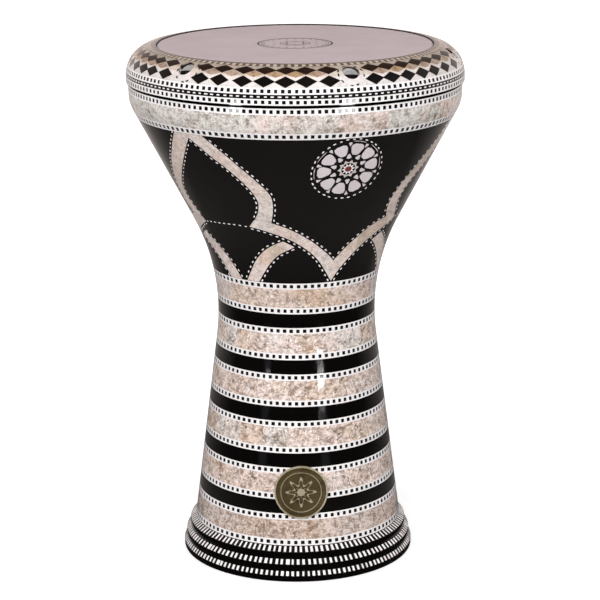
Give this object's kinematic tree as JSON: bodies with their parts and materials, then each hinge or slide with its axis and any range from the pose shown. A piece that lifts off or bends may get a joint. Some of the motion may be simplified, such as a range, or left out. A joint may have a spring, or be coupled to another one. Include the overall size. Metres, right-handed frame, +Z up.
{
  "type": "goblet drum",
  "caption": "Cast goblet drum with a black lacquer body, pearl and checker inlay, a rounded clamping ring tuned by sunken bolts, and a matte synthetic head",
  "frame": {"origin": "centre of the foot, on the surface the drum stands on", "axes": "+Z up from the foot to the head along the drum's axis, -Y towards the side with the plate, +X to that side's right"},
  "size_m": [0.2836, 0.282, 0.4422],
  "materials": {
    "cast_body": "gloss",
    "cast_ring": "gloss",
    "hoop": "satin",
    "film": "matte",
    "pearl": "gloss",
    "mosaic_strip": "gloss",
    "diamond_inlay": "gloss",
    "steel": "satin",
    "brass": "satin"
  },
  "bodies": {
    "body": {"shell": "cast_body", "head_film": "film", "bowl_dots_lower": "mosaic_strip", "bowl_pearl": "pearl", "bowl_dots_upper": "mosaic_strip", "stem_dots_lower_1": "mosaic_strip", "stem_pearl_1": "pearl", "stem_dots_upper_1": "mosaic_strip", "stem_dots_lower_2": "mosaic_strip", "stem_pearl_2": "pearl", "stem_dots_upper_2": "mosaic_strip", "stem_dots_lower_3": "mosaic_strip", "stem_pearl_3": "pearl", "stem_dots_upper_3": "mosaic_strip", "stem_dots_lower_4": "mosaic_strip", "stem_pearl_4": "pearl", "stem_dots_upper_4": "mosaic_strip", "stem_dots_lower_5": "mosaic_strip", "stem_pearl_5": "pearl", "stem_dots_upper_5": "mosaic_strip", "stem_dots_lower_6": "mosaic_strip", "stem_pearl_6": "pearl", "stem_dots_upper_6": "mosaic_strip", "foot_bars_1": "mosaic_strip", "foot_bars_2": "mosaic_strip", "foot_bars_3": "mosaic_strip", "lace_ribbon_1": "pearl", "lace_ribbon_2": "pearl", "lace_ribbon_3": "pearl", "lower_ribbon_1": "pearl", "lower_ribbon_2": "pearl", "lower_ribbon_3": "pearl", "lower_ribbon_4": "pearl", "lower_ribbon_5": "pearl", "lower_ribbon_6": "pearl", "rosette_1": "pearl", "rosette_2": "pearl", "rosette_3": "pearl", "brass_plate": "brass"},
    "clamp": {"top_ring": "cast_ring", "head_hoop": "hoop", "rim_dots_lower": "mosaic_strip", "rim_dash_band": "mosaic_strip", "rim_dots_upper": "mosaic_strip", "rim_diamonds": "diamond_inlay", "rim_dots_inner": "mosaic_strip", "washer_1": "steel", "washer_2": "steel", "washer_3": "steel", "washer_4": "steel", "washer_5": "steel", "washer_6": "steel"},
    "tuning_bolt_1": {"bolt_1": "steel"},
    "tuning_bolt_2": {"bolt_2": "steel"},
    "tuning_bolt_3": {"bolt_3": "steel"},
    "tuning_bolt_4": {"bolt_4": "steel"},
    "tuning_bolt_5": {"bolt_5": "steel"},
    "tuning_bolt_6": {"bolt_6": "steel"}
  },
  "joints": [
    {"name": "ring_tension", "type": "slide", "parent": "body", "child": "clamp", "axis": [0, 0, 1], "range_m": [-0.0012, 0.0025]},
    {"name": "bolt_1_turn", "type": "hinge", "parent": "clamp", "child": "tuning_bolt_1", "pos_m": [0.04341, -0.12466, 0.4258], "axis": [0, 0, 1], "range_deg": [-440, 910]},
    {"name": "bolt_2_turn", "type": "hinge", "parent": "clamp", "child": "tuning_bolt_2", "pos_m": [0.12966, -0.02473, 0.4258], "axis": [0, 0, 1], "range_deg": [-440, 910]},
    {"name": "bolt_3_turn", "type": "hinge", "parent": "clamp", "child": "tuning_bolt_3", "pos_m": [0.08625, 0.09992, 0.4258], "axis": [0, 0, 1], "range_deg": [-440, 910]},
    {"name": "bolt_4_turn", "type": "hinge", "parent": "clamp", "child": "tuning_bolt_4", "pos_m": [-0.04341, 0.12466, 0.4258], "axis": [0, 0, 1], "range_deg": [-440, 910]},
    {"name": "bolt_5_turn", "type": "hinge", "parent": "clamp", "child": "tuning_bolt_5", "pos_m": [-0.12966, 0.02473, 0.4258], "axis": [0, 0, 1], "range_deg": [-440, 910]},
    {"name": "bolt_6_turn", "type": "hinge", "parent": "clamp", "child": "tuning_bolt_6", "pos_m": [-0.08625, -0.09992, 0.4258], "axis": [0, 0, 1], "range_deg": [-440, 910]}
  ],
  "couplings": [
    {"joint": "bolt_1_turn", "follows": "ring_tension", "rad_per_m": 6283.2},
    {"joint": "bolt_2_turn", "follows": "ring_tension", "rad_per_m": 6283.2},
    {"joint": "bolt_3_turn", "follows": "ring_tension", "rad_per_m": 6283.2},
    {"joint": "bolt_4_turn", "follows": "ring_tension", "rad_per_m": 6283.2},
    {"joint": "bolt_5_turn", "follows": "ring_tension", "rad_per_m": 6283.2},
    {"joint": "bolt_6_turn", "follows": "ring_tension", "rad_per_m": 6283.2}
  ]
}
